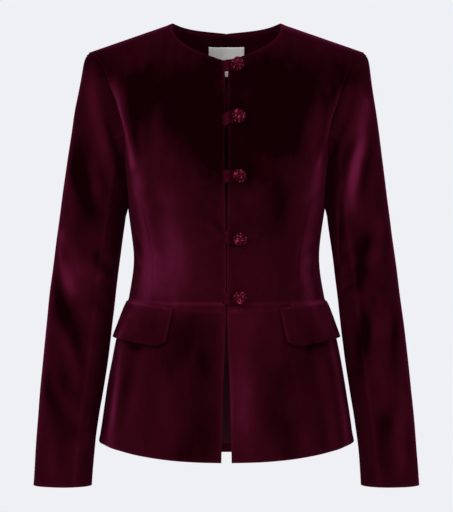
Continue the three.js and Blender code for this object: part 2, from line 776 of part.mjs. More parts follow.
// Back lining, laid on the back panels' own points from a little above the hem up to the facing
const liningTop = placeAt(BODICE, "back", 0, LINING.top);
const bodicePlacesLined = bodicePlaces.filter((place) => place > 0 && place < liningTop);
const bodiceRows = panelPoints(BODICE, bodicePlacesLined, "back");
const skirtRows = skirtPoints("back").reverse();
const aboveHem = LINING.hemRise / (skirtRows[1][0].z - skirtRows[0][0].z);
skirtRows[0] = skirtRows[0].map((point, i) => point.clone().lerp(skirtRows[1][i], aboveHem));
const liningRows = [...skirtRows, ...bodiceRows].map((row) => {
  const half = row.slice(0, LINING.columns + 1);
  return [...mirrored([half.slice().reverse()], -1)[0], ...half];
});
const seamRow = skirtRows.length - 1;
const liningNormals = squareEdges(gridNormals(liningRows, true), (j) => (j === seamRow ? ["z"] : []));
const liningOuter = movedOut(liningRows, liningNormals, () => -VELVET_WALL - LAY_GAP);
addPiece("back_lining", wall(liningOuter, liningNormals, LINING_WALL, true), satin);

export default jacket;
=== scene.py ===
import math
from collections import namedtuple

import bmesh
import bpy
import numpy as np
from mathutils import Matrix, Vector
from mathutils.bvhtree import BVHTree
from mathutils.kdtree import KDTree


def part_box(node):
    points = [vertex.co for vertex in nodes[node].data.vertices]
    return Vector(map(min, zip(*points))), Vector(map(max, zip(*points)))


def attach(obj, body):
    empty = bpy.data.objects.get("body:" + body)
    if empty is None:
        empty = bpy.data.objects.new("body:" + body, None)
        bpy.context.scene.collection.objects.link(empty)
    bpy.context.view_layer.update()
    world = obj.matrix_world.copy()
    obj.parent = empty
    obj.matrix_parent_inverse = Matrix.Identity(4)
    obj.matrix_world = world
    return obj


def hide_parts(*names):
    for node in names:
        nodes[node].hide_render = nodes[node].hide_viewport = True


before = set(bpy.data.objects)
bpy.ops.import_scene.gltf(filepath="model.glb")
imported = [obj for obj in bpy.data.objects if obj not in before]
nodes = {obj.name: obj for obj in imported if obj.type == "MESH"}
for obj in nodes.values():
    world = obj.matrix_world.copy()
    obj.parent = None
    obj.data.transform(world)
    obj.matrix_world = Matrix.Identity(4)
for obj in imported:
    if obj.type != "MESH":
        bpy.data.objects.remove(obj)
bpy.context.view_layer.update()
MM = 0.001

# Camera: level with the jacket's middle and three metres in front of it, as it is shown.
# The picture's height is given in pixels, each so wide on the jacket's middle plane.
PICTURE_PIXELS = 512
PIXEL = 1.4 * MM
PICTURE_HEIGHT = PICTURE_PIXELS * PIXEL
CAMERA_DISTANCE = 3.0
CAMERA_HEIGHT = -0.326


def add_object(name, data):
    made = bpy.data.objects.new(name, data)
    bpy.context.scene.collection.objects.link(made)
    return made


camera = bpy.data.cameras.new("camera")
camera.sensor_width = 36
camera.lens = camera.sensor_width * CAMERA_DISTANCE / PICTURE_HEIGHT
camera_object = add_object("camera", camera)
camera_object.location = (0, -CAMERA_DISTANCE, CAMERA_HEIGHT)
camera_object.rotation_euler = (math.radians(90), 0, 0)
bpy.context.scene.camera = camera_object
bpy.context.scene.view_settings.view_transform = "Standard"


# Light: a pale even studio, with a large soft light from the upper left, weaker ones from the
# right and the front, and one behind. The sheen of the pile answers to all of them.
class Paint:
    """A socket of a material's nodes. Sums written with it add Math nodes."""

    def __init__(self, tree, plug=None):
        self.tree = tree
        self.plug = plug

    def node(self, kind, settings=None, inputs=None, output=0):
        made = self.tree.nodes.new(kind)
        for name, value in (settings or {}).items():
            setattr(made, name, value)
        for name, value in (inputs or {}).items():
            if isinstance(value, Paint):
                self.tree.links.new(value.plug, made.inputs[name])
            else:
                made.inputs[name].default_value = value
        return Paint(self.tree, made.outputs[output])

    def sums(self, operation, *values, clamp=False):
        settings = {"operation": operation, "use_clamp": clamp}
        return self.node("ShaderNodeMath", settings, dict(enumerate(values)))

    def __add__(self, other):
        return self.sums("ADD", self, other)

    __radd__ = __add__

    def __sub__(self, other):
        return self.sums("SUBTRACT", self, other)

    def __rsub__(self, other):
        return self.sums("SUBTRACT", other, self)

    def __mul__(self, other):
        return self.sums("MULTIPLY", self, other)

    def __truediv__(self, other):
        return self.sums("DIVIDE", self, other)

    def clamped(self):
        return self.sums("ADD", self, 0.0, clamp=True)

    def mixed(self, dark, light):
        """A colour from dark at 0 to light at 1."""
        settings = {"data_type": "RGBA"}
        return self.node("ShaderNodeMix", settings, {0: self, 6: dark, 7: light}, output=2)


BACKDROP = (0.863, 0.871, 0.905, 1)
ROOM_LIGHT = 0.5
world = bpy.data.worlds.new("studio")
world.use_nodes = True
backdrop = world.node_tree.nodes["Background"]
backdrop.inputs["Color"].default_value = BACKDROP
in_picture = Paint(world.node_tree).node("ShaderNodeLightPath")
strength = ROOM_LIGHT + in_picture * (1 - ROOM_LIGHT)
world.node_tree.links.new(strength.plug, backdrop.inputs["Strength"])
bpy.context.scene.world = world

# Each light's name, place and size in metres, and strength in watts
SOFT_LIGHTS = (
    ("key", (-2.0, -2.0, 1.3), 1.5, 70),
    ("fill", (2.4, -1.6, 0.4), 1.4, 30),
    ("front", (0.2, -3.1, 0.5), 1.2, 14),
    ("back", (0.6, 2.7, 1.0), 1.8, 60),
)
for light_name, place, size, watts in SOFT_LIGHTS:
    light = bpy.data.lights.new(light_name, "AREA")
    light.size = size
    light.energy = watts
    light_object = add_object(light_name, light)
    light_object.location = place
    aim = Vector((0, 0, CAMERA_HEIGHT)) - Vector(place)
    light_object.rotation_euler = aim.to_track_quat("-Z", "Y").to_euler()

# Floor: plain and pale, at a wearer's feet, fading into the backdrop well behind the jacket.
FLOOR_HEIGHT = -1.38
FLOOR_RADIUS = 4.5
FLOOR_SIDES = 96
FLOOR_COLOR = (0.8, 0.805, 0.83, 1)
FLOOR_ROUGHNESS = 0.9
FADE_START = 1.4
FADE_LENGTH = 3.0
floor_mesh = bpy.data.meshes.new("floor")
floor_shape = bmesh.new()
bmesh.ops.create_circle(floor_shape, cap_ends=True, segments=FLOOR_SIDES, radius=FLOOR_RADIUS)
bmesh.ops.translate(floor_shape, verts=floor_shape.verts, vec=(0, 0, FLOOR_HEIGHT))
floor_shape.to_mesh(floor_mesh)
floor_shape.free()
floor = add_object("floor", floor_mesh)
floor_material = bpy.data.materials.new("pale_floor")
floor_material.use_nodes = True
floor_surface = floor_material.node_tree.nodes["Principled BSDF"]
floor_surface.inputs["Base Color"].default_value = FLOOR_COLOR
floor_surface.inputs["Roughness"].default_value = FLOOR_ROUGHNESS
floor_paint = Paint(floor_material.node_tree)
floor_place = floor_paint.node("ShaderNodeTexCoord", output=3)
distance = {"operation": "LENGTH"}
from_middle = floor_paint.node("ShaderNodeVectorMath", distance, {0: floor_place}, output=1)
floor_fade = 1 - ((from_middle - FADE_START) / FADE_LENGTH).clamped()
floor_material.node_tree.links.new(floor_fade.plug, floor_surface.inputs["Alpha"])
floor_mesh.materials.append(floor_material)


# Body panels: two fronts and two backs of burgundy pile velvet, with a waist seam and a skirt of
# four more panels below it. Each is cut from velvet, turned under at its free edges and seamed
# to the next with the seam pressed open, so the pile parts in a fine line there.
# Velvet colours from painted shade at the dark end to painted light at the light end, with random
# tone between
VELVET_DARK = (0.0048, 0.0002, 0.0008, 1)
VELVET_MIDDLE = (0.033, 0.002, 0.0068, 1)
VELVET_LIGHT = (0.108, 0.008, 0.034, 1)

# The velvet's lightness runs from 0, painted shade, to 1, painted light, with random tone in it.
# These are its middle colour's lightness, level cloth's lightness, and what three sizes of
# unevenness add.
MIDDLE_LIGHTNESS = 0.4
LEVEL_LIGHTNESS = 0.22
CLOUDS_ADD = 0.22
STROKE_ADD = 0.18
PILE_ADD = 0.12
LINING_SHADE = (0.006, 0.0008, 0.0018, 1)


def finish(name, roughness, **constants):
    """A new material with its surface node and a Paint to work from."""
    made = bpy.data.materials.new(name)
    made.use_nodes = True
    surface = made.node_tree.nodes["Principled BSDF"]
    surface.inputs["Roughness"].default_value = roughness
    for socket, value in constants.items():
        surface.inputs[socket.replace("_", " ")].default_value = value
    return made, surface, Paint(made.node_tree)


def join(paint, surface, socket):
    paint.tree.links.new(paint.plug, surface.inputs[socket])


def object_place(paint):
    return paint.node("ShaderNodeTexCoord", output=3)


def noise(paint, place, scale, detail=2.0, stretch=(1, 1, 1)):
    """Smooth noise from 0 to 1, its scale in features per metre, stretched along the axes."""
    stretched = paint.node("ShaderNodeMapping", {}, {"Vector": place, "Scale": stretch})
    values = {"Vector": stretched, "Scale": scale, "Detail": detail}
    return paint.node("ShaderNodeTexNoise", {}, values)


def add_bump(paint, surface, height, strength, distance):
    values = {"Strength": strength, "Distance": distance, "Height": height}
    join(paint.node("ShaderNodeBump", {}, values), surface, "Normal")


def velvet_finish():
    made, surface, paint = finish(
        "velvet",
        0.85,
        Sheen_Weight=0.1,
        Sheen_Roughness=0.4,
        Sheen_Tint=(0.7, 0.06, 0.24, 1),
        Specular_IOR_Level=0.0,
    )
    place = object_place(paint)
    # painted light and shade, carried on each piece's points
    painted_shading = paint.node("ShaderNodeAttribute", {"attribute_name": "painted_shading"}, output=2)
    inside = paint.node("ShaderNodeAttribute", {"attribute_name": "inside"}, output=2)
    clouds = noise(paint, place, 16, 3.0, (1, 1, 0.55))
    stroke = noise(paint, place, 75, 3.0, (1, 1, 0.35))
    pile = noise(paint, place, 1150, 1.0)
    # painted light and shade plus random tone pick the velvet's colour
    velvet_lightness = painted_shading + LEVEL_LIGHTNESS + (clouds - 0.5) * CLOUDS_ADD
    velvet_lightness = velvet_lightness + (stroke - 0.5) * STROKE_ADD + (pile - 0.5) * PILE_ADD
    darker_half = (velvet_lightness / MIDDLE_LIGHTNESS).clamped().mixed(VELVET_DARK, VELVET_MIDDLE)
    outer = ((velvet_lightness - MIDDLE_LIGHTNESS) / (1 - MIDDLE_LIGHTNESS)).clamped().mixed(darker_half, VELVET_LIGHT)
    join(inside.clamped().mixed(outer, LINING_SHADE), surface, "Base Color")
    join((0.9 - inside * 0.4).clamped(), surface, "Roughness")
    add_bump(paint, surface, stroke * 0.6 + pile * 0.4, 0.35, 0.0008)
    return made


velvet = velvet_finish()

# A fold, or a stretch of pile painted lighter or darker as light or shade. Its two ends are given as
# a turn in degrees and a height in millimetres, bow is how far its middle strays, width its half
# width and depth its height above the cloth, or its share of painted light where it is painted
# shading.
Fold = namedtuple("Fold", "turn height width depth bow", defaults=[0])

GIRTH_PER_DEGREE = math.radians(150)
BODY_RATIO = 105 / 150

# Turn 0 is centre front, minus is the wearer's right (the left of the picture), 180 centre back.
BODY_FOLDS = (
    # beside the armholes, where the chest turns to the side
    Fold((-72, -62), (-78, -180), 10, -2.0, 4),
    Fold((-60, -50), (-80, -205), 13, 1.9, 5),
    Fold((-44, -36), (-95, -200), 15, -1.0, 4),
    Fold((70, 62), (-78, -176), 10, -1.8, -4),
    Fold((58, 50), (-85, -205), 13, 1.7, -5),
    Fold((43, 35), (-95, -200), 15, -0.9, -4),
    # waist darts, pressed towards the middle
    Fold((-50.5, -43.5), (-240, -392), 3.2, -0.3, 2),
    Fold((50.5, 43.5), (-246, -392), 3.2, -0.3, -2),
    Fold((-132, -128), (-215, -392), 3.2, -0.35, -2),
    Fold((132, 128), (-215, -392), 3.2, -0.35, 2),
    # drawn from the bust to the side of the waist
    Fold((-62, -30), (-232, -262), 9, 1.3, 4),
    Fold((64, 38), (-228, -252), 8, 1.1, -4),
    Fold((-74, -40), (-300, -330), 8, -1.3, 3),
    Fold((-82, -52), (-318, -352), 7, -1.1, 3),
    Fold((-66, -30), (-345, -368), 6, 0.9, 2),
    Fold((74, 44), (-306, -330), 8, -1.2, -3),
    Fold((82, 56), (-326, -356), 7, -1.1, -3),
    Fold((66, 32), (-350, -372), 6, 0.8, -2),
    # pulled by the loops at the front edges
    Fold((-1, -15), (-297, -277), 5, 0.7, 2),
    Fold((-1, -19), (-308, -314), 5, 0.5, -1),
    Fold((-1, -13), (-214, -205), 5, 0.35, 1),
    Fold((-1, -16), (-224, -236), 5, 0.3, 1),
    Fold((8, 20), (-304, -297), 5, 0.35, 1),
    Fold((8, 19), (-217, -226), 5, 0.3, 1),
    Fold((-1, -12), (-386, -378), 5, 0.35, 1),
    Fold((-2, -14), (-70, -82), 5, 0.35, 1),
    Fold((-2, -14), (-140, -152), 5, 0.4, 1),
    # the skirt's easy waves
    Fold((-56, -60), (-452, -612), 15, 2.0, 3),
    Fold((-34, -33), (-470, -612), 18, -1.5, -3),
    Fold((-14, -12), (-430, -612), 16, 1.3, 2),
    Fold((10, 12), (-415, -612), 15, 1.5, 2),
    Fold((31, 33), (-460, -612), 17, -1.7, 3),
    Fold((54, 57), (-450, -612), 15, 1.9, -3),
    Fold((-84, -86), (-430, -600), 14, -1.6, 2),
    Fold((84, 87), (-430, -600), 14, -1.6, -2),
    Fold((-112, -110), (-440, -615), 17, 2.1, 3),
    Fold((-137, -134), (-425, -615), 14, -1.9, -3),
    Fold((-160, -158), (-450, -615), 16, 1.8, 2),
    Fold((112, 109), (-435, -615), 17, 2.0, -3),
    Fold((135, 136), (-440, -615), 14, -1.8, 3),
    Fold((161, 157), (-430, -615), 16, 1.9, -2),
    Fold((178, 179), (-470, -615), 13, -1.3, 2),
    # the back: hollow of the waist, drag from the shoulder blades, ease under the neck
    Fold((-178, -140), (-330, -345), 8, -1.1, 3),
    Fold((178, 142), (-322, -348), 8, -1.1, -3),
    Fold((-172, -150), (-362, -368), 6, 0.9, -2),
    Fold((171, 146), (-366, -372), 6, 0.9, 2),
    Fold((-128, -156), (-150, -262), 13, 1.1, 5),
    Fold((128, 154), (-158, -268), 13, 1.1, -5),
    Fold((-118, -124), (-90, -225), 14, -1.4, 5),
    Fold((118, 125), (-94, -228), 14, -1.4, -5),
    Fold((-170, 172), (-62, -66), 9, -0.8, 3),
    Fold((-100, -128), (-236, -290), 8, 0.9, 3),
    Fold((100, 130), (-240, -284), 8, 0.9, -3),
)

# Painted light and shade on the body's pile: lighter where the velvet shows light, darker where it
# shows shade.
BODY_PAINTED_SHADING = (
    # painted shade in a V over the shoulders and chest, down to its point at the bust
    Fold((-88, -62), (-55, -95), 40, -0.17),
    Fold((88, 62), (-55, -95), 40, -0.17),
    Fold((-60, 60), (-66, -66), 42, -0.16),
    Fold((-44, 46), (-122, -124), 42, -0.22),
    Fold((-58, -44), (-80, -130), 22, -0.16),
    Fold((44, 60), (-130, -80), 22, -0.12),
    Fold((-24, 34), (-168, -172), 34, -0.22),
    Fold((-8, 20), (-206, -216), 26, -0.17),
    Fold((24, 27), (-220, -298), 18, -0.13),
    # painted light where the fronts turn to the sides
    Fold((-73, -57), (-84, -205), 11, 0.54, 4),
    Fold((-54, -50), (-205, -395), 30, 0.44),
    Fold((-30, -28), (-238, -395), 26, 0.3),
    Fold((66, 54), (-110, -205), 11, 0.26, -4),
    Fold((56, 52), (-195, -395), 26, 0.34),
    Fold((12, 10), (-300, -395), 16, 0.04),
    Fold((-50.5, -43.5), (-240, -392), 4, -0.06, 2),
    Fold((50.5, 43.5), (-246, -392), 4, -0.06, -2),
    # painted light and shade in strips down the skirt
    Fold((-66, -60), (-430, -612), 17, 0.36),
    Fold((-42, -40), (-450, -612), 14, 0.08),
    Fold((-20, -16), (-408, -612), 26, -0.14),
    Fold((9, 10), (-402, -600), 20, 0.2),
    Fold((30, 40), (-452, -560), 28, -0.1),
    Fold((27, 30), (-540, -612), 20, -0.08),
    Fold((66, 68), (-450, -612), 18, 0.3),
    # painted light on the flaps, painted shadow under them, and a painted highlight along the waist
    # seam
    Fold((-72, -50), (-415, -420), 20, 0.17),
    Fold((50, 72), (-420, -415), 20, 0.15),
    Fold((-67, -43), (-446, -452), 6, -0.2),
    Fold((62, 41), (-444, -450), 6, -0.22),
    Fold((-72, -1), (-390, -391), 2.5, 0.26),
    Fold((1, 72), (-391, -390), 2.5, 0.2),
    # painted shade and light on the shoulders behind, the back and its sides, and the skirt behind
    Fold((-165, 165), (-60, -66), 44, -0.17),
    Fold((-160, 160), (-130, -138), 56, -0.16),
    Fold((174, 178), (-180, -390), 26, -0.12),
    Fold((-120, -126), (-190, -390), 30, 0.34),
    Fold((120, 126), (-190, -390), 30, 0.34),
    Fold((-150, -146), (-430, -612), 24, 0.34),
    Fold((-124, -120), (-440, -612), 18, -0.13),
    Fold((-98, -96), (-430, -612), 20, 0.28),
    Fold((126, 130), (-430, -612), 22, 0.3),
    Fold((100, 98), (-430, -612), 18, -0.12),
    Fold((154, 156), (-440, -612), 18, -0.12),
    Fold((176, 178), (-440, -612), 16, 0.2),
)

# How strongly a fold's slope is painted as light on one flank and shade on the other, and the step
# in millimetres that measures it
SLOPE_SHOWS = 0.9
SLOPE_STEP = 1.5

# A fold's flanks dip by this share of its depth, this many half widths aside. Its ends fade over
# this share of its length, and its width and depth waver along it by these shares.
FLANK_DIP = 0.3
FLANK_PLACE = 1.8
END_SHARE = 0.3
WIDTH_WAVER = 0.18
DEPTH_WAVER = 0.2


def gentle(share):
    """A share from 0 to 1 that leaves 0 and reaches 1 without a corner."""
    return share * share * (3 - 2 * share)


def short_way(turn):
    """A difference of turns in degrees, taken the short way round."""
    return (turn + 180) % 360 - 180


def relief(turn, height, folds, per_degree, flanks=True):
    """The height that a list of folds gives at each turn and height of a chart of the cloth."""
    total = np.zeros(len(turn))
    for index, fold in enumerate(folds):
        across = short_way(turn - fold.turn[0]) * per_degree
        up = height - fold.height[0]
        run_across = short_way(fold.turn[1] - fold.turn[0]) * per_degree
        run_up = fold.height[1] - fold.height[0]
        length = math.hypot(run_across, run_up)
        along = (across * run_across + up * run_up) / length**2
        aside = (across * run_up - up * run_across) / length
        aside = aside - fold.bow * (1 - (2 * along - 1) ** 2)
        widths = aside / (fold.width * (1 + WIDTH_WAVER * np.sin(5 * along + index)))
        shape = np.exp(-(widths**2))
        if flanks:
            dips = np.exp(-((widths - FLANK_PLACE) ** 2)) + np.exp(-((widths + FLANK_PLACE) ** 2))
            shape = shape - FLANK_DIP * dips
            low = along / END_SHARE
            high = (1 - along) / END_SHARE
        else:
            reach = fold.width / length
            low = (along + reach) / (2 * reach)
            high = (1 + reach - along) / (2 * reach)
        ends = gentle(np.clip(low, 0, 1)) * gentle(np.clip(high, 0, 1))
        total += fold.depth * shape * ends * (1 + DEPTH_WAVER * np.sin(9 * along + 2 * index))
    return total


def slope(turn, height, folds, per_degree):
    """How steeply folds rise with the turn, used to paint one flank of a fold lighter and the other
    darker.
    """
    step = SLOPE_STEP / per_degree
    ahead = relief(turn + step, height, folds, per_degree)
    behind = relief(turn - step, height, folds, per_degree)
    return (ahead - behind) / (2 * SLOPE_STEP)


# Very low swells that no cloth is without: wavelengths in millimetres across and up, and phase
SWELLS = ((61, 140, 0.4), (47, -96, 1.7), (83, 210, 2.9), (38, 71, 4.1), (54, -180, 5.3))
BODY_SWELL = 0.45
SLEEVE_SWELL = 0.4


def swell(across, up):
    total = 0
    for wave_across, wave_up, phase in SWELLS:
        total = total + np.sin(2 * math.pi * (across / wave_across + up / wave_up) + phase)
    return total / len(SWELLS)


def body_chart(points):
    """Turn, height and outward direction of points on the body, in degrees and millimetres."""
    x = points[:, 0] / MM
    y = points[:, 1] / MM
    turn = np.degrees(np.arctan2(x, -y / BODY_RATIO))
    outward = np.stack([x, y / BODY_RATIO**2, np.zeros(len(x))], axis=1)
    outward /= np.linalg.norm(outward, axis=1)[:, None]
    return turn, points[:, 2] / MM, outward


# The cloth is still down to this many millimetres below the neck, and eased in after it
CALM_NECK = 30
NECK_EASE = 50

# Below the waist seam the two fronts hang this much closer together, in millimetres, which fades
# out round the body within about this turn in degrees
FRONTS_CLOSER = 2.1
FRONTS_TURN = 14
SKIRT_TOP = -400
SKIRT_LENGTH = 200


def body_move(points):
    """How far the folds move points on the body, and the painted light and shade there."""
    turn, height, outward = body_chart(points)
    across = turn * GIRTH_PER_DEGREE
    ease = np.clip((-height - CALM_NECK) / NECK_EASE, 0, 1)
    lift = relief(turn, height, BODY_FOLDS, GIRTH_PER_DEGREE) + BODY_SWELL * swell(across, height)
    lift = lift * ease
    # painted light and shade: the listed stretches, and one flank of each fold lighter than the
    # other
    painted_shading = relief(turn, height, BODY_PAINTED_SHADING, GIRTH_PER_DEGREE, flanks=False)
    painted_shading += SLOPE_SHOWS * ease * slope(turn, height, BODY_FOLDS, GIRTH_PER_DEGREE)
    offset = outward * (lift * MM)[:, None]
    down = np.clip((SKIRT_TOP - height) / SKIRT_LENGTH, 0, 1)
    in_front = np.exp(-((turn / FRONTS_TURN) ** 2))
    offset[:, 0] -= np.sign(turn) * FRONTS_CLOSER * MM * down * in_front
    return offset, painted_shading


SHOULDER_MIDDLE = -0.12


def outward_of_body(point):
    """Away from the body's middle line, and upwards too near the shoulders."""
    return Vector((point.x, point.y, point.z - min(point.z, SHOULDER_MIDDLE)))


# An edge sharper than this divides a panel's faces, and triangles flatter than this to each other
# join, both in radians. A group of faces is outer or inner when it faces so by this share.
SHARP = 0.9
FLAT_PAIR = 0.7
FACES_SO = 0.35
SAME_POINT = 0.02 * MM
CUT_EDGE = 0
OUTER = 1
INNER = 2


def level_parts(shape):
    """The shape's faces in groups that no sharp edge divides."""
    left = set(shape.faces)
    while left:
        part = [left.pop()]
        for face in part:
            for edge in face.edges:
                if edge.is_manifold and edge.calc_face_angle() < SHARP:
                    fresh = left.intersection(edge.link_faces)
                    left -= fresh
                    part.extend(fresh)
        yield part


def panel_shape(node_name, outward_at):
    """A CAD panel as a clean mesh, its faces marked as outer, inner or cut edge."""
    shape = bmesh.new()
    shape.from_mesh(nodes[node_name].data)
    bmesh.ops.remove_doubles(shape, verts=shape.verts, dist=SAME_POINT)
    bmesh.ops.join_triangles(
        shape, faces=shape.faces, angle_face_threshold=FLAT_PAIR, angle_shape_threshold=math.pi
    )
    shape.normal_update()
    side = shape.faces.layers.int.new("side")
    for part in level_parts(shape):
        area = sum(face.calc_area() for face in part)
        facing = 0
        for face in part:
            outward = outward_at(face.calc_center_median()).normalized()
            facing += face.normal.dot(outward) * face.calc_area() / area
        kind = CUT_EDGE
        if abs(facing) > FACES_SO:
            kind = OUTER if facing > 0 else INNER
        for face in part:
            face[side] = kind
    crease = shape.edges.layers.float.new("crease_edge")
    for edge in shape.edges:
        if edge.is_manifold and edge.calc_face_angle() > SHARP:
            edge[crease] = 1.0
    return shape


ROUNDING_LEVELS = 2


def add_rounding(holder):
    rounding = holder.modifiers.new("rounding", "SUBSURF")
    rounding.levels = ROUNDING_LEVELS
    rounding.render_levels = ROUNDING_LEVELS


def smoothed(shape, name):
    """The shape with its rounding applied, as a new bmesh."""
    mesh = bpy.data.meshes.new(name)
    shape.to_mesh(mesh)
    shape.free()
    holder = add_object(name, mesh)
    add_rounding(holder)
    graph = bpy.context.evaluated_depsgraph_get()
    fine = bmesh.new()
    fine.from_object(holder, graph)
    bpy.data.objects.remove(holder)
    return fine


def finer_outside(fine):
    """Splits the outer faces once more, so that fine seams and folds have points to rest on."""
    side = fine.faces.layers.int["side"]
    edges = {edge for face in fine.faces if face[side] == OUTER for edge in face.edges}
    bmesh.ops.subdivide_edges(fine, edges=list(edges), cuts=1, use_grid_fill=True)
    many_sided = [face for face in fine.faces if len(face.verts) > 4]
    bmesh.ops.triangulate(fine, faces=many_sided)


def near(tree, points):
    """How far each point is from the tree's nearest one."""
    return np.array([tree.find(point)[2] for point in points])


def edge_points(fine, side, keep):
    """The points where the outer cloth meets its cut edge, as a search tree, or None."""
    found = []
    for vert in fine.verts:
        kinds = {face[side] for face in vert.link_faces}
        if CUT_EDGE in kinds and OUTER in kinds and keep(vert.co):
            found.append(vert.co.copy())
    if not found:
        return None
    tree = KDTree(len(found))
    for index, point in enumerate(found):
        tree.insert(point, index)
    tree.balance()
    return tree


def always(point):
    return True


def never(point):
    return False


# At a seam a panel comes closer to the next and its inner face laps under it. The outer face
# sinks there, and a painted highlight runs along it.
SEAM_CLOSE = 0.32 * MM
SEAM_LAP = 5 * MM
SEAM_SINK = 0.5 * MM
SEAM_REACH = 2.4 * MM
SEAM_LIGHT = 0.12
SEAM_LIGHT_REACH = 1.3 * SEAM_REACH

# A free edge is rolled: it rises beside the edge, is rounded and carries a painted highlight
ROLL_RISE = 0.45 * MM
ROLL_REACH = 2.6 * MM
EDGE_ROUND = 0.45 * MM
EDGE_LIGHT = 0.16
EDGE_LIGHT_REACH = 1.2 * ROLL_REACH

# The faces at a point agree when their normals add up to this share of their number
AGREE = 0.85


def facing_ways(fine, side, kind, keep):
    """At each kept point the way that its faces of one kind face, and nothing at their corners."""
    ways = np.zeros((len(fine.verts), 3))
    for index, vert in enumerate(fine.verts):
        faces = [face.normal for face in vert.link_faces if face[side] == kind]
        if faces and keep(vert.co):
            way = sum(faces, Vector())
            if way.length > AGREE * len(faces):
                ways[index] = way.normalized()
    return ways


def mesh_from(shape, name, material):
    """The shape as a smooth mesh of one material. The shape itself is used up."""
    mesh = bpy.data.meshes.new(name)
    shape.to_mesh(mesh)
    shape.free()
    mesh.materials.append(material)
    mesh.shade_smooth()
    return mesh


def add_piece(name, mesh, node_name):
    """A piece of the jacket, put in the scene in its solid's stead."""
    piece = add_object(name, mesh)
    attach(piece, "root")
    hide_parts(node_name)
    return piece


def cloth_piece(name, node_name, outward_at, move, is_free, is_lined, material):
    """One panel of velvet on its solid's form, with folds, sunk seams, rolled free edges and painted
    light and shade.
    """
    fine = smoothed(panel_shape(node_name, outward_at), name)
    finer_outside(fine)
    fine.normal_update()
    side = fine.faces.layers.int["side"]
    points = np.array([vert.co[:] for vert in fine.verts])
    offset, painted_shading = move(points)
    seams = edge_points(fine, side, lambda point: not is_free(point))
    free = edge_points(fine, side, is_free)
    kinds = [{face[side] for face in vert.link_faces} for vert in fine.verts]
    outside = np.array([OUTER in found for found in kinds], dtype=float)
    within = np.array([INNER in found for found in kinds], dtype=float)
    inner = np.array([found == {INNER} for found in kinds], dtype=float)
    lined = np.array([is_lined(vert.co) for vert in fine.verts], dtype=float)
    normals = facing_ways(fine, side, OUTER, always)
    across = facing_ways(fine, side, CUT_EDGE, lambda point: not is_free(point))
    offset = offset + across * (SEAM_CLOSE + SEAM_LAP * within)[:, None]
    if seams:
        gap = near(seams, points)
        sink = -SEAM_SINK * np.exp(-((gap / SEAM_REACH) ** 2)) * outside
        offset = offset + normals * sink[:, None]
        painted_shading = painted_shading + SEAM_LIGHT * np.exp(-((gap / SEAM_LIGHT_REACH) ** 2))
    if free:
        gap = near(free, points)
        rise = ROLL_RISE * np.exp(-(((gap - ROLL_REACH) / ROLL_REACH) ** 2)) * outside
        offset = offset + normals * rise[:, None]
        painted_shading = painted_shading + EDGE_LIGHT * np.exp(-((gap / EDGE_LIGHT_REACH) ** 2))
    moved = points + offset
    for vert, place in zip(fine.verts, moved):
        vert.co = place
    # the painted light and shade is stored on each point
    painted_shading_layer = fine.verts.layers.float.new("painted_shading")
    inside_layer = fine.verts.layers.float.new("inside")
    for vert, value, hidden in zip(fine.verts, painted_shading, inner * lined):
        vert[painted_shading_layer] = value
        vert[inside_layer] = hidden
    sharp = [edge for edge in fine.edges if edge.is_manifold and edge.calc_face_angle() > SHARP]
    bmesh.ops.bevel(
        fine,
        geom=sharp,
        offset=EDGE_ROUND,
        segments=2,
        profile=0.5,
        affect="EDGES",
        clamp_overlap=True,
        material=-1,
    )
    return add_piece(name, mesh_from(fine, name, material), node_name)


HANDS = ("right", "left")

# Where the body's free edges and seams lie, and from where its fronts are shaded as lined
NECK_REACH = 77 * MM
NECK_LOW = -62 * MM
SHOULDER_SEAM = 0.6 * MM
FRONT_EDGE = 12 * MM
HEM_TOP = -580 * MM
SEAM_ZONE = 2.5 * MM
SIDE_SEAM = 4 * MM
LINED_FROM = 55 * MM
LINED_LOW = -592 * MM


def at_back_seam(point):
    return abs(point.x) < SEAM_ZONE and point.y > 0


def at_side_seam(point):
    return abs(point.y - SIDE_SEAM) < SEAM_ZONE


def free_edge_of_bodice(point):
    at_front = abs(point.x) < FRONT_EDGE and point.y < 0
    at_neck = abs(point.x) < NECK_REACH and point.z > NECK_LOW
    at_shoulder_seam = abs(point.y) <= SHOULDER_SEAM
    return at_front or (at_neck and not at_shoulder_seam and not at_back_seam(point))


def free_edge_of_skirt(point):
    at_front = abs(point.x) < FRONT_EDGE and point.y < 0
    at_hem = point.z < HEM_TOP
    return at_front or (at_hem and not at_back_seam(point) and not at_side_seam(point))


def lined_front(point):
    return abs(point.x) > LINED_FROM and point.z > LINED_LOW


# Cut sizes of what shows: width and length in metres, and area in square metres
BODY_CUTS = {
    "front_bodice": (0.205, 0.425, 0.0733),
    "back_bodice": (0.2, 0.43, 0.0723),
    "front_skirt": (0.235, 0.22, 0.0463),
    "back_skirt": (0.23, 0.225, 0.0457),
}
body = {}
for hand in HANDS:
    for part, (width, length, area) in BODY_CUTS.items():
        is_free = free_edge_of_bodice if "bodice" in part else free_edge_of_skirt
        is_lined = lined_front if "front" in part else never
        node_name = f"{part}_{hand}"
        piece = cloth_piece(
            f"velvet_{node_name}", node_name, outward_of_body, body_move, is_free, is_lined, velvet
        )
        neighbour = part.replace("skirt", "bodice")
        rests_on = [] if "bodice" in part else [f"velvet_{neighbour}_{hand}"]
        body[node_name] = piece

# Pocket flaps: velvet, two layers bagged out and caught in the waist seam over each hip. They
# hang over the skirt, a little away from it at the front corner.
FLAP_CUT = (0.108, 0.057, 0.0058)
FLAP_TOP = -392 * MM
FLAP_SEAM_DEPTH = 3.5 * MM
FLAP_FRONT = 60 * MM


def free_edge_of_flap(point):
    return point.z < FLAP_TOP - FLAP_SEAM_DEPTH or abs(point.x) < FLAP_FRONT


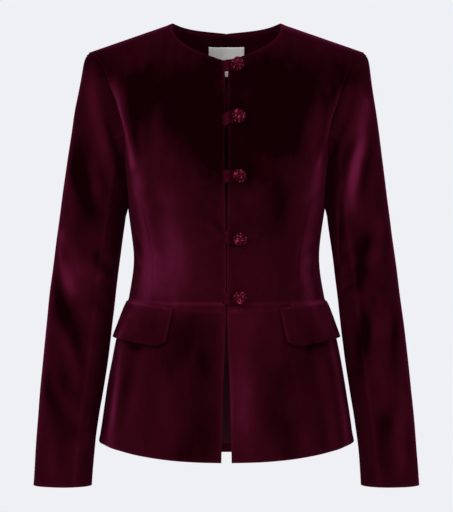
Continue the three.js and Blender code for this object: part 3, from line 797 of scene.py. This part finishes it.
for hand in HANDS:
    flap = cloth_piece(
        f"velvet_flap_{hand}",
        f"flap_{hand}",
        outward_of_body,
        body_move,
        free_edge_of_flap,
        never,
        velvet,
    )
    width, length, area = FLAP_CUT
    rests_on = [f"velvet_front_skirt_{hand}"]


# Sleeves: two-piece set-in sleeves of the same velvet, lined, with the top sleeve over the front
# and the under sleeve behind the seams. They hang from a soft head and bend a little forwards.
SLEEVE_AXIS = {
    # height: how far out and how far back the middle of the sleeve lies
    -60: (172, 2),
    -136: (173.7, 2),
    -197: (178.4, 1),
    -262: (186, -1),
    -344: (196.4, -5),
    -436: (206.8, -11),
    -531: (217.7, -17),
    -644: (227.5, -22),
}
SLEEVE_PER_DEGREE = math.radians(46)

# Turn 0 faces away from the body, 90 the front, 180 the body and -90 the back.
SLEEVE_FOLDS = {
    "right": (
        Fold((62, 135), (-55, -250), 9, 1.7),
        Fold((84, 152), (-75, -250), 7, -1.6),
        Fold((58, 112), (-170, -285), 14, -2.1, 4),
        Fold((20, 40), (-90, -240), 15, 1.2, -4),
        Fold((34, 98), (-300, -390), 9, 2.1, 3),
        Fold((28, 122), (-338, -442), 13, -2.3, 5),
        Fold((100, 172), (-318, -352), 8, -1.7, 3),
        Fold((112, 176), (-352, -372), 7, 1.3, -2),
        Fold((104, 168), (-385, -402), 8, -1.2, 2),
        Fold((64, 118), (-420, -520), 11, 1.3, -4),
        Fold((38, 112), (-482, -568), 12, -1.7, 4),
        Fold((70, 84), (-560, -640), 12, 0.9, 2),
        Fold((-30, -96), (-120, -260), 13, -1.6, 4),
        Fold((-62, -130), (-95, -215), 10, 1.3, -3),
        Fold((-40, -150), (-330, -366), 12, -1.5, 5),
        Fold((-60, -160), (-372, -410), 11, 1.3, -4),
        Fold((-30, -80), (-440, -560), 13, -1.3, 4),
        Fold((-110, -150), (-470, -610), 12, 1.2, -3),
    ),
    "left": (
        Fold((80, 142), (-60, -200), 8, 1.7),
        Fold((58, 110), (-104, -270), 10, 1.5, 4),
        Fold((96, 158), (-90, -210), 7, -1.5),
        Fold((72, 126), (-150, -262), 9, -1.6, -3),
        Fold((118, 150), (-222, -340), 5, 1.0),
        Fold((64, 114), (-296, -386), 13, -2.2, -4),
        Fold((38, 88), (-262, -350), 10, 1.6, 3),
        Fold((108, 170), (-322, -350), 8, -1.5, 3),
        Fold((104, 172), (-362, -384), 7, 1.2, -2),
        Fold((92, 132), (-388, -512), 12, -1.7, 4),
        Fold((52, 84), (-400, -520), 11, 1.3, -3),
        Fold((44, 100), (-500, -590), 12, -1.3, 3),
        Fold((60, 76), (-570, -642), 13, 0.9, 2),
        Fold((-28, -92), (-130, -270), 13, -1.5, 4),
        Fold((-64, -128), (-92, -205), 10, 1.2, -3),
        Fold((-46, -152), (-322, -360), 12, -1.5, 5),
        Fold((-58, -158), (-368, -402), 11, 1.2, -4),
        Fold((-34, -84), (-430, -548), 13, -1.2, 4),
        Fold((-108, -148), (-480, -615), 12, 1.2, -3),
    ),
}
# Painted light and shade on each sleeve's pile, as lighter or darker stretches
SLEEVE_PAINTED_SHADING = {
    "right": (
        Fold((66, 140), (-50, -250), 8, 0.36),
        Fold((84, 150), (-70, -200), 8, -0.14),
        Fold((52, 108), (-170, -275), 22, -0.22),
        Fold((80, 90), (-290, -330), 22, -0.06),
        Fold((32, 96), (-290, -378), 12, 0.34),
        Fold((50, 112), (-370, -440), 20, -0.15),
        Fold((60, 110), (-480, -580), 20, -0.15),
        Fold((14, 18), (-50, -600), 12, 0.2),
        Fold((80, 82), (-595, -644), 26, 0.06),
        Fold((120, 130), (-450, -600), 14, 0.1),
        Fold((-60, -64), (-90, -600), 16, 0.16),
        Fold((-120, -110), (-200, -420), 16, -0.14),
        Fold((-30, -26), (-250, -400), 14, -0.12),
    ),
    "left": (
        Fold((80, 142), (-60, -200), 9, 0.2),
        Fold((58, 110), (-104, -270), 12, 0.3),
        Fold((118, 150), (-222, -340), 3.2, 0.34),
        Fold((120, 160), (-120, -215), 8, -0.12),
        Fold((82, 96), (-300, -380), 20, -0.17),
        Fold((104, 124), (-390, -500), 18, -0.14),
        Fold((60, 66), (-480, -625), 15, 0.1),
        Fold((94, 98), (-545, -630), 18, -0.12),
        Fold((14, 18), (-50, -600), 12, 0.18),
        Fold((-60, -64), (-90, -600), 16, 0.16),
        Fold((-118, -112), (-200, -420), 16, -0.14),
        Fold((-30, -26), (-240, -390), 14, -0.12),
    ),
}

# Within this reach of the body a sleeve's cloth moves more and more as the body does, and takes
# the body's painted light and shade, at most this light
ARMHOLE_EASE = 42 * MM
ARMHOLE_PAINTED_SHADING = -0.04

# Between these heights, in millimetres, a sleeve hangs against the body's side, with this gap,
# where it is within reach and looks the same way by at least this share
AGAINST_TOP = (-192, -206)
AGAINST_LOW = (-256, -270)
AGAINST_REACH = 7 * MM
AGAINST_GAP = 0.35 * MM
AGAINST_FACING = 0.3

# The faces of a sleeve's head, above this height in millimetres, look away from one point. The
# cuff's free edge starts at the next height, and the inside is shaded as lined down to the last.
SLEEVE_HEAD_LOW = -150
CUFF_EDGE = -638 * MM
SLEEVE_LINED_LOW = -618 * MM

# How far apart the low swells of the two sleeves are taken, so that they differ
SWELL_SHIFT = 200


def sleeve_axis(height):
    """How far out and how far back a sleeve's middle lies at a height, in millimetres."""
    heights = sorted(SLEEVE_AXIS)
    out = [SLEEVE_AXIS[known][0] for known in heights]
    back = [SLEEVE_AXIS[known][1] for known in heights]
    return np.interp(height, heights, out), np.interp(height, heights, back)


def cloth_surface(piece):
    """A piece's faces as a tree that finds the nearest place on them."""
    points = [vert.co for vert in piece.data.vertices]
    faces = [face.vertices for face in piece.data.polygons]
    return BVHTree.FromPolygons(points, faces)


def sleeve_move_for(hand):
    """How folds move points on one sleeve. Near the body it moves as the body does."""
    sign = 1 if hand == "left" else -1
    panels = [cloth_surface(nodes[f"{part}_bodice_{hand}"]) for part in ("front", "back")]
    sides = [cloth_surface(body[f"{part}_bodice_{hand}"]) for part in ("front", "back")]

    def move(points):
        height = points[:, 2] / MM
        axis_out, axis_back = sleeve_axis(height)
        out = sign * points[:, 0] / MM - axis_out
        back = points[:, 1] / MM - axis_back
        turn = np.degrees(np.arctan2(-back, out))
        outward = np.stack([sign * out, back, np.zeros(len(out))], axis=1)
        outward /= np.linalg.norm(outward, axis=1)[:, None]
        lift = relief(turn, height, SLEEVE_FOLDS[hand], SLEEVE_PER_DEGREE)
        lift += SLEEVE_SWELL * swell(turn * SLEEVE_PER_DEGREE + SWELL_SHIFT * sign, height)
        # painted light and shade: the listed stretches, and one flank of each fold lighter than the
        # other
        painted_shading = relief(turn, height, SLEEVE_PAINTED_SHADING[hand], SLEEVE_PER_DEGREE, flanks=False)
        painted_shading -= sign * SLOPE_SHOWS * slope(turn, height, SLEEVE_FOLDS[hand], SLEEVE_PER_DEGREE)
        reach = np.array([min(panel.find_nearest(place)[3] for panel in panels) for place in points])
        free = gentle(np.clip(reach / ARMHOLE_EASE, 0, 1))
        body_offset, body_painted_shading = body_move(points)
        offset = body_offset * (1 - free)[:, None] + outward * (lift * free * MM)[:, None]
        against = np.clip((AGAINST_TOP[0] - height) / (AGAINST_TOP[0] - AGAINST_TOP[1]), 0, 1)
        against *= np.clip((height - AGAINST_LOW[1]) / (AGAINST_LOW[0] - AGAINST_LOW[1]), 0, 1)
        for index in np.flatnonzero((against > 0) & (reach < AGAINST_REACH) & (out < 0)):
            place = Vector(points[index] + offset[index])
            found = min((side.find_nearest(place) for side in sides), key=lambda hit: hit[3])
            way = (place - found[0]).normalized()
            if way.dot(found[1]) > AGAINST_FACING:
                wanted = found[0] + way * AGAINST_GAP - place
                offset[index] += np.array(wanted) * against[index]
        return offset, painted_shading * free + np.minimum(body_painted_shading, ARMHOLE_PAINTED_SHADING) * (1 - free)

    return move


def outward_of_sleeve_for(hand):
    sign = 1 if hand == "left" else -1

    def outward(point):
        height = min(point.z / MM, SLEEVE_HEAD_LOW)
        out, back = sleeve_axis(height)
        return Vector((point.x - sign * out * MM, point.y - back * MM, point.z - height * MM))

    return outward


def free_edge_of_sleeve(point):
    return point.z < CUFF_EDGE


def lined_sleeve(point):
    return point.z > SLEEVE_LINED_LOW


SLEEVE_CUTS = {"top_sleeve": (0.235, 0.63, 0.107), "under_sleeve": (0.125, 0.5, 0.045)}
for hand in HANDS:
    for part, (width, length, area) in SLEEVE_CUTS.items():
        sleeve = cloth_piece(
            f"velvet_{part}_{hand}",
            f"{part}_{hand}",
            outward_of_sleeve_for(hand),
            sleeve_move_for(hand),
            free_edge_of_sleeve,
            lined_sleeve,
            velvet,
        )
        rests_on = [f"velvet_front_bodice_{hand}", f"velvet_back_bodice_{hand}"]


# Buttons: domes covered with looped silk cord, two rings of petals round a knot, with a cord
# round the rim. Each is sewn to the left front on a shank of wound thread.
CORD_DARK = (0.045, 0.0004, 0.0035, 1)
CORD_LIGHT = (0.5, 0.04, 0.13, 1)
# the last is painted shade, for the core between the cord loops
CORD_SHADE = (0.002, 0.0001, 0.0003, 1)
BUTTON_COUNT = 5
BUTTON_TURN = 0.7

# Sizes in millimetres. The core is a dome a little lower than the cords on it, given by its foot's
# radius and height above the shank, and by the radii of its steps.
DOME_RADIUS = 8.8
DOME_TOP = 9.6
DOME_SPARE = 0.4
CORE_FOOT = ((7.9, 0), (8.6, 0.8))
CORE_RADII = (8.1, 7.1, 5.7, 3.9, 2.0, 0)
CORE_LOWER = 0.45
CORE_SIDES = 28
SHANK_FOOT = 0.5
SHANK_TOP = 4.1
SHANK_RADIUS = 4.0
SHANK_HEIGHTS = (0.9, 1.7, 2.5, 3.3)
SHANK_CORD = {"major": SHANK_RADIUS + 0.1, "minor": 0.42, "turns": 24, "sides": 6}
RIM_HEIGHT = 0.9
RIM_CORD = {"major": 8.5, "minor": 0.6, "turns": 48, "sides": 8}

# Rings of cord loops on the dome: how many, how far out they lie, half their length and width,
# and how much of a step the ring is turned
PETAL_RINGS = (
    {"count": 11, "radius": 6.1, "half_length": 2.2, "half_width": 0.95, "turned": 0.0},
    {"count": 6, "radius": 2.7, "half_length": 1.2, "half_width": 0.75, "turned": 0.5},
)
CORD_RADIUS = 0.42
PETAL_TURNS = 14
PETAL_SIDES = 8
PETAL_LIFT = 0.35
UNEVEN_LENGTH = 0.08
UNEVEN_TURN = 0.06

# The knot in the middle: one small ball and four round it
KNOT_BALL = 0.62
KNOT_REACH = 0.95
KNOT_LIFT = 0.1


def cord_finish():
    made, surface, paint = finish("silk_cord", 0.42, Specular_IOR_Level=0.04)
    place = object_place(paint)
    raised = paint.node("ShaderNodeAttribute", {"attribute_name": "raised"}, output=2)
    strands = noise(paint, place, 420, 2.0)
    threads = noise(paint, place, 2600, 1.0)
    # painted glints: bright specks on the cord
    glint = ((strands - 0.54) * 6.0).clamped()
    cord_color = glint.mixed(CORD_DARK, CORD_LIGHT)
    # painted shade: where nothing is raised, the core between the loops is near black
    join(raised.mixed(CORD_SHADE, cord_color), surface, "Base Color")
    join(0.34 + threads * 0.25, surface, "Roughness")
    add_bump(paint, surface, threads, 0.5, 0.0003)
    return made


silk_cord = cord_finish()


def dome_height(radius):
    share_out = radius / (DOME_RADIUS + DOME_SPARE)
    return SHANK_TOP + (DOME_TOP - SHANK_TOP) * math.sqrt(max(0, 1 - share_out**2))


def spin_round(shape, parts, steps):
    """Sweeps points and edges a whole turn about Z."""
    bmesh.ops.spin(
        shape,
        geom=parts,
        cent=(0, 0, 0),
        axis=(0, 0, 1),
        angle=math.tau,
        steps=steps,
        use_merge=True,
    )


def add_ring(shape, major, minor, turns, sides):
    """A closed ring of cord about Z, as new geometry in the bmesh. Returns its points."""
    before = len(shape.verts)
    section = bmesh.ops.create_circle(shape, segments=sides, radius=minor)["verts"]
    bmesh.ops.rotate(shape, verts=section, matrix=Matrix.Rotation(math.radians(90), 3, "X"))
    bmesh.ops.translate(shape, verts=section, vec=(major, 0, 0))
    rim = {edge for vert in section for edge in vert.link_edges}
    spin_round(shape, list(rim), turns)
    shape.verts.ensure_lookup_table()
    return shape.verts[before:]


def add_petals(shape, count, radius, half_length, half_width, turned):
    """A ring of oval cord loops lying on the dome, each one pointing out from its middle."""
    lean = math.atan2(dome_height(radius - 1) - dome_height(radius + 1), 2)
    for index in range(count):
        petal = add_ring(shape, 1.0, CORD_RADIUS / half_width, PETAL_TURNS, PETAL_SIDES)
        uneven = 1 + UNEVEN_LENGTH * math.sin(7 * index + count)
        bmesh.ops.scale(shape, verts=petal, vec=(half_length * uneven, half_width, half_width))
        bmesh.ops.rotate(shape, verts=petal, matrix=Matrix.Rotation(lean, 3, "Y"))
        bmesh.ops.translate(shape, verts=petal, vec=(radius, 0, dome_height(radius) + PETAL_LIFT))
        turn = math.tau * (index + turned) / count + UNEVEN_TURN * math.sin(5 * index)
        bmesh.ops.rotate(shape, verts=petal, matrix=Matrix.Rotation(turn, 3, "Z"))


def button_mesh():
    shape = bmesh.new()
    profile = [(0, SHANK_FOOT), (SHANK_RADIUS, SHANK_FOOT), (SHANK_RADIUS, SHANK_TOP)]
    profile += [(radius, SHANK_TOP + above) for radius, above in CORE_FOOT]
    profile += [(radius, dome_height(radius) - CORE_LOWER) for radius in CORE_RADII]
    verts = [shape.verts.new((radius, 0, height)) for radius, height in profile]
    edges = [shape.edges.new(pair) for pair in zip(verts, verts[1:])]
    spin_round(shape, verts + edges, CORE_SIDES)
    bmesh.ops.remove_doubles(shape, verts=shape.verts, dist=0.001)
    base = len(shape.verts)
    rim = add_ring(shape, **RIM_CORD)
    bmesh.ops.translate(shape, verts=rim, vec=(0, 0, SHANK_TOP + RIM_HEIGHT))
    for height in SHANK_HEIGHTS:
        wound = add_ring(shape, **SHANK_CORD)
        bmesh.ops.translate(shape, verts=wound, vec=(0, 0, height))
    for ring in PETAL_RINGS:
        add_petals(shape, **ring)
    for index in range(5):
        ball = bmesh.ops.create_icosphere(shape, subdivisions=2, radius=KNOT_BALL)["verts"]
        out = KNOT_REACH if index else 0
        turn = index * math.pi / 2
        at = (out * math.cos(turn), out * math.sin(turn), dome_height(0) + KNOT_LIFT)
        bmesh.ops.translate(shape, verts=ball, vec=at)
    bmesh.ops.recalc_face_normals(shape, faces=shape.faces)
    bmesh.ops.scale(shape, verts=shape.verts, vec=(MM, MM, MM))
    # marks the cords, so that the core between them takes the painted shade
    raised = shape.verts.layers.float.new("raised")
    shape.verts.ensure_lookup_table()
    for vert in shape.verts[base:]:
        vert[raised] = 1.0
    return mesh_from(shape, "button", silk_cord)


left_front = cloth_surface(body["front_bodice_left"])
left_solid = cloth_surface(nodes["front_bodice_left"])
button_seats = []
for number in range(1, BUTTON_COUNT + 1):
    low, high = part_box(f"button_{number}")
    middle = (low + high) / 2
    solid_place, facing_way, _, _ = left_solid.find_nearest((middle.x, low.y, middle.z))
    place = left_front.find_nearest(solid_place)[0]
    mesh = button_mesh()
    turned = facing_way.to_track_quat("Z", "X").to_matrix().to_4x4()
    mesh.transform(Matrix.Rotation(BUTTON_TURN * number, 4, "Z"))
    mesh.transform(Matrix.Translation(place) @ turned)
    add_piece(f"corded_button_{number}", mesh, f"button_{number}")
    button_seats.append(place)


# Loops: folded velvet bands set in the right front's edge. Each comes out of the edge with its two
# legs side by side, parts to go round its button's shank, and is rounded and a little crushed.
# Sizes in millimetres: half widths of the legs and the bend, and gaps between and round them
BAND = {"leg_half": 4.7, "leg_gap": -0.7, "bend_half": 2.4, "shank_gap": 0.4, "half_thickness": 1.6}
LEG_OUT = BAND["leg_half"] + BAND["leg_gap"]
BAND_OVER_CLOTH = 0.35
BAND_SIDES = 12
BAND_CRUSHED = 0.07
LEG_STEPS = 8
TURN_STEPS = 8

# Places across the front, from its middle: where a leg starts, where it has risen out of the edge
# and where it starts to part. The last is how far short of the button it has parted.
LOOP_ROOT = -7
RISEN = (-4.5, 1)
BEND_FROM = 7
BEND_EASE = 2
ROOT_DEPTH = -1.7
ROOT_SHIFTS = (-1.6, -5, -0.5, 4.5, 0)

# The cloth is looked for from this far in front of the button's seat
LOOK_FROM = 6 * MM

# A band is painted a little darker, with a painted highlight streak where it comes out of the edge
BAND_DARKER = -0.06
STREAK_PAINTED_HIGHLIGHT = 0.26
STREAK_WIDTH = 2.5
right_front = cloth_surface(body["front_bodice_right"])


def eased(value, start, end):
    return gentle(min(max((value - start) / (end - start), 0), 1))


def loop_stations(seat, root_shift):
    """Places of a loop on the cloth and its half width there, in millimetres."""
    around = SHANK_RADIUS + BAND["shank_gap"] + BAND["bend_half"]
    middle_x = seat.x / MM
    middle_z = seat.z / MM
    legs = {1: [], -1: []}
    for side, leg in legs.items():
        for step in range(LEG_STEPS):
            x = LOOP_ROOT + (middle_x - LOOP_ROOT) * step / LEG_STEPS
            parted = eased(x, BEND_FROM, middle_x - BEND_EASE)
            settled = eased(x, LOOP_ROOT, BEND_FROM)
            out = LEG_OUT + (around - LEG_OUT) * parted
            half = BAND["leg_half"] + (BAND["bend_half"] - BAND["leg_half"]) * parted
            leg.append((x, middle_z + root_shift * (1 - settled) + side * out, half))
    turn = []
    for step in range(TURN_STEPS + 1):
        angle = math.pi / 2 - math.pi * step / TURN_STEPS
        place = (middle_x + around * math.cos(angle), middle_z + around * math.sin(angle))
        turn.append((*place, BAND["bend_half"]))
    return legs[1] + turn + legs[-1][::-1]


for number, (seat, root_shift) in enumerate(zip(button_seats, ROOT_SHIFTS), 1):
    stations = loop_stations(seat, root_shift)
    seats = []
    for x, z, _ in stations:
        front = right_front if x < 0 else left_front
        place, normal, _, _ = front.find_nearest((x * MM, seat.y - LOOK_FROM, z * MM))
        full_height = BAND_OVER_CLOTH + BAND["half_thickness"]
        height = ROOT_DEPTH + (full_height - ROOT_DEPTH) * eased(x, *RISEN)
        raised = Vector((0, normal.y, 0)) * height * MM
        seats.append((Vector((x * MM, place.y, z * MM)) + raised, normal))
    shape = bmesh.new()
    ring = bmesh.ops.create_circle(shape, cap_ends=True, segments=BAND_SIDES, radius=1)["verts"]
    before = Matrix.Identity(4)
    for index, ((place, normal), (_, _, half)) in enumerate(zip(seats, stations)):
        ahead = seats[min(index + 1, len(seats) - 1)][0] - seats[max(index - 1, 0)][0]
        across = normal.cross(ahead).normalized()
        rise = ahead.cross(across).normalized()
        crushed = 1 + BAND_CRUSHED * math.sin(2.1 * index + number)
        frame_here = Matrix.Identity(4)
        frame_here.col[0] = (*(across * half * crushed * MM), 0)
        frame_here.col[1] = (*(rise * BAND["half_thickness"] * crushed * MM), 0)
        frame_here.col[2] = (*(ahead.normalized() * MM), 0)
        frame_here.col[3] = (*place, 1)
        if index:
            rim = [edge for edge in shape.edges if all(vert in ring for vert in edge.verts)]
            grown = bmesh.ops.extrude_edge_only(shape, edges=rim)["geom"]
            ring = [item for item in grown if isinstance(item, bmesh.types.BMVert)]
        bmesh.ops.transform(shape, matrix=frame_here @ before.inverted(), verts=ring)
        before = frame_here
    bmesh.ops.holes_fill(shape, edges=shape.edges, sides=BAND_SIDES)
    bmesh.ops.recalc_face_normals(shape, faces=shape.faces)
    loop_painted_shading = shape.verts.layers.float.new("painted_shading")
    # a little darker all over, and a painted highlight streak at the edge
    for vert in shape.verts:
        vert[loop_painted_shading] = BAND_DARKER + STREAK_PAINTED_HIGHLIGHT * math.exp(-((vert.co.x / MM / STREAK_WIDTH) ** 2))
    name = f"velvet_loop_{number}"
    loop = add_piece(name, mesh_from(shape, name, velvet), f"loop_{number}")
    add_rounding(loop)


# Back neck facing: velvet inside the back neck, sewn to the neckline, that carries the label.
def piece_inside_back(name, node_name, material):
    """A piece inside the back, which moves as the body does and has free edges all round."""
    return cloth_piece(name, node_name, outward_of_body, body_move, always, never, material)


facing = piece_inside_back("velvet_back_neck_facing", "back_neck_facing", velvet)


# Back lining: dark satin laid inside the back from the facing to just above the hem.
SATIN_DARK = (0.016, 0.003, 0.006, 1)
SATIN_LIGHT = (0.05, 0.009, 0.017, 1)


def satin_finish():
    made, surface, paint = finish("lining_satin", 0.4, Specular_IOR_Level=0.02)
    place = object_place(paint)
    streaks = noise(paint, place, 900, 2.0, (1, 1, 0.04))
    clouds = noise(paint, place, 22, 2.0)
    join(((streaks + clouds) * 0.5).mixed(SATIN_DARK, SATIN_LIGHT), surface, "Base Color")
    join(0.34 + streaks * 0.16, surface, "Roughness")
    add_bump(paint, surface, streaks, 0.2, 0.0002)
    return made


lining = piece_inside_back("satin_back_lining", "back_lining", satin_finish())


# Label: a bare woven satin ribbon, folded in at its ends and sewn to the facing.
RIBBON_DARK = (0.74, 0.71, 0.68, 1)
RIBBON_LIGHT = (0.92, 0.9, 0.87, 1)


def ribbon_finish():
    made, surface, paint = finish("label_ribbon", 0.55, Specular_IOR_Level=0.35)
    place = object_place(paint)
    warp = noise(paint, place, 1500, 1.0, (1, 1, 0.06))
    weft = noise(paint, place, 1500, 1.0, (0.06, 1, 1))
    weave = warp * 0.6 + weft * 0.4
    join(weave.mixed(RIBBON_DARK, RIBBON_LIGHT), surface, "Base Color")
    add_bump(paint, surface, weave, 0.3, 0.0002)
    return made


label = piece_inside_back("woven_label", "label", ribbon_finish())
